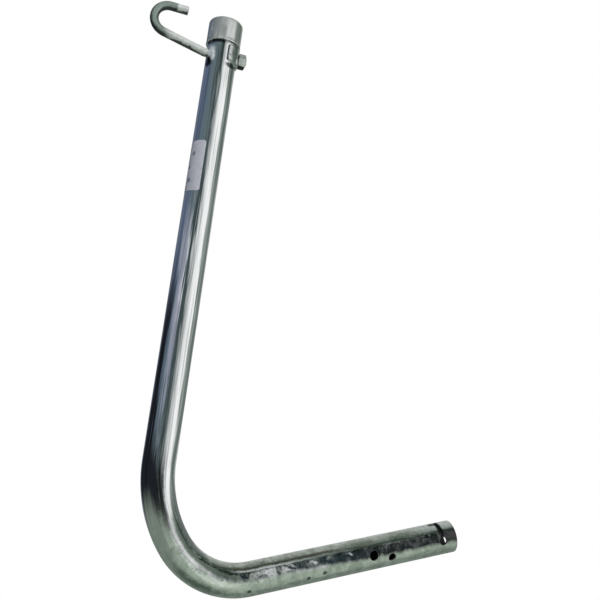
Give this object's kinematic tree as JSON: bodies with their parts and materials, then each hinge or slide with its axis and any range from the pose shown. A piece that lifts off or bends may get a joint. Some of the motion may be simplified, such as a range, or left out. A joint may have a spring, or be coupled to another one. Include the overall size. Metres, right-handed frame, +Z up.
{
  "type": "cable support bracket",
  "caption": "Bent galvanised tube bracket: a long upright with a capped top and a bolted J-hook that carries a cable, and a rising arm drilled and notched for clamping.",
  "frame": {"origin": "centre of the larger cross hole, on the arm's axis", "axes": "+Z up along the upright, +X towards the arm's end in the bracket's plane, +Y to the back, along the larger cross hole"},
  "size_m": [0.5255, 0.0482, 0.7732],
  "materials": {
    "tube_zinc": "hot-dip galvanised, bright on the upright and mottled grey on the bend and arm",
    "cap_shell": "satin zinc-coated steel",
    "hook_zinc": "hot-dip galvanised",
    "washer_zinc": "zinc plated",
    "nut_zinc": "zinc plated",
    "label_film": "plain grey film, bare"
  },
  "bodies": {
    "root": {"bent_tube": "tube_zinc", "end_cap": "cap_shell", "hook": "hook_zinc", "saddle_washer": "washer_zinc", "hook_nut": "nut_zinc", "label": "label_film"}
  },
  "joints": []
}
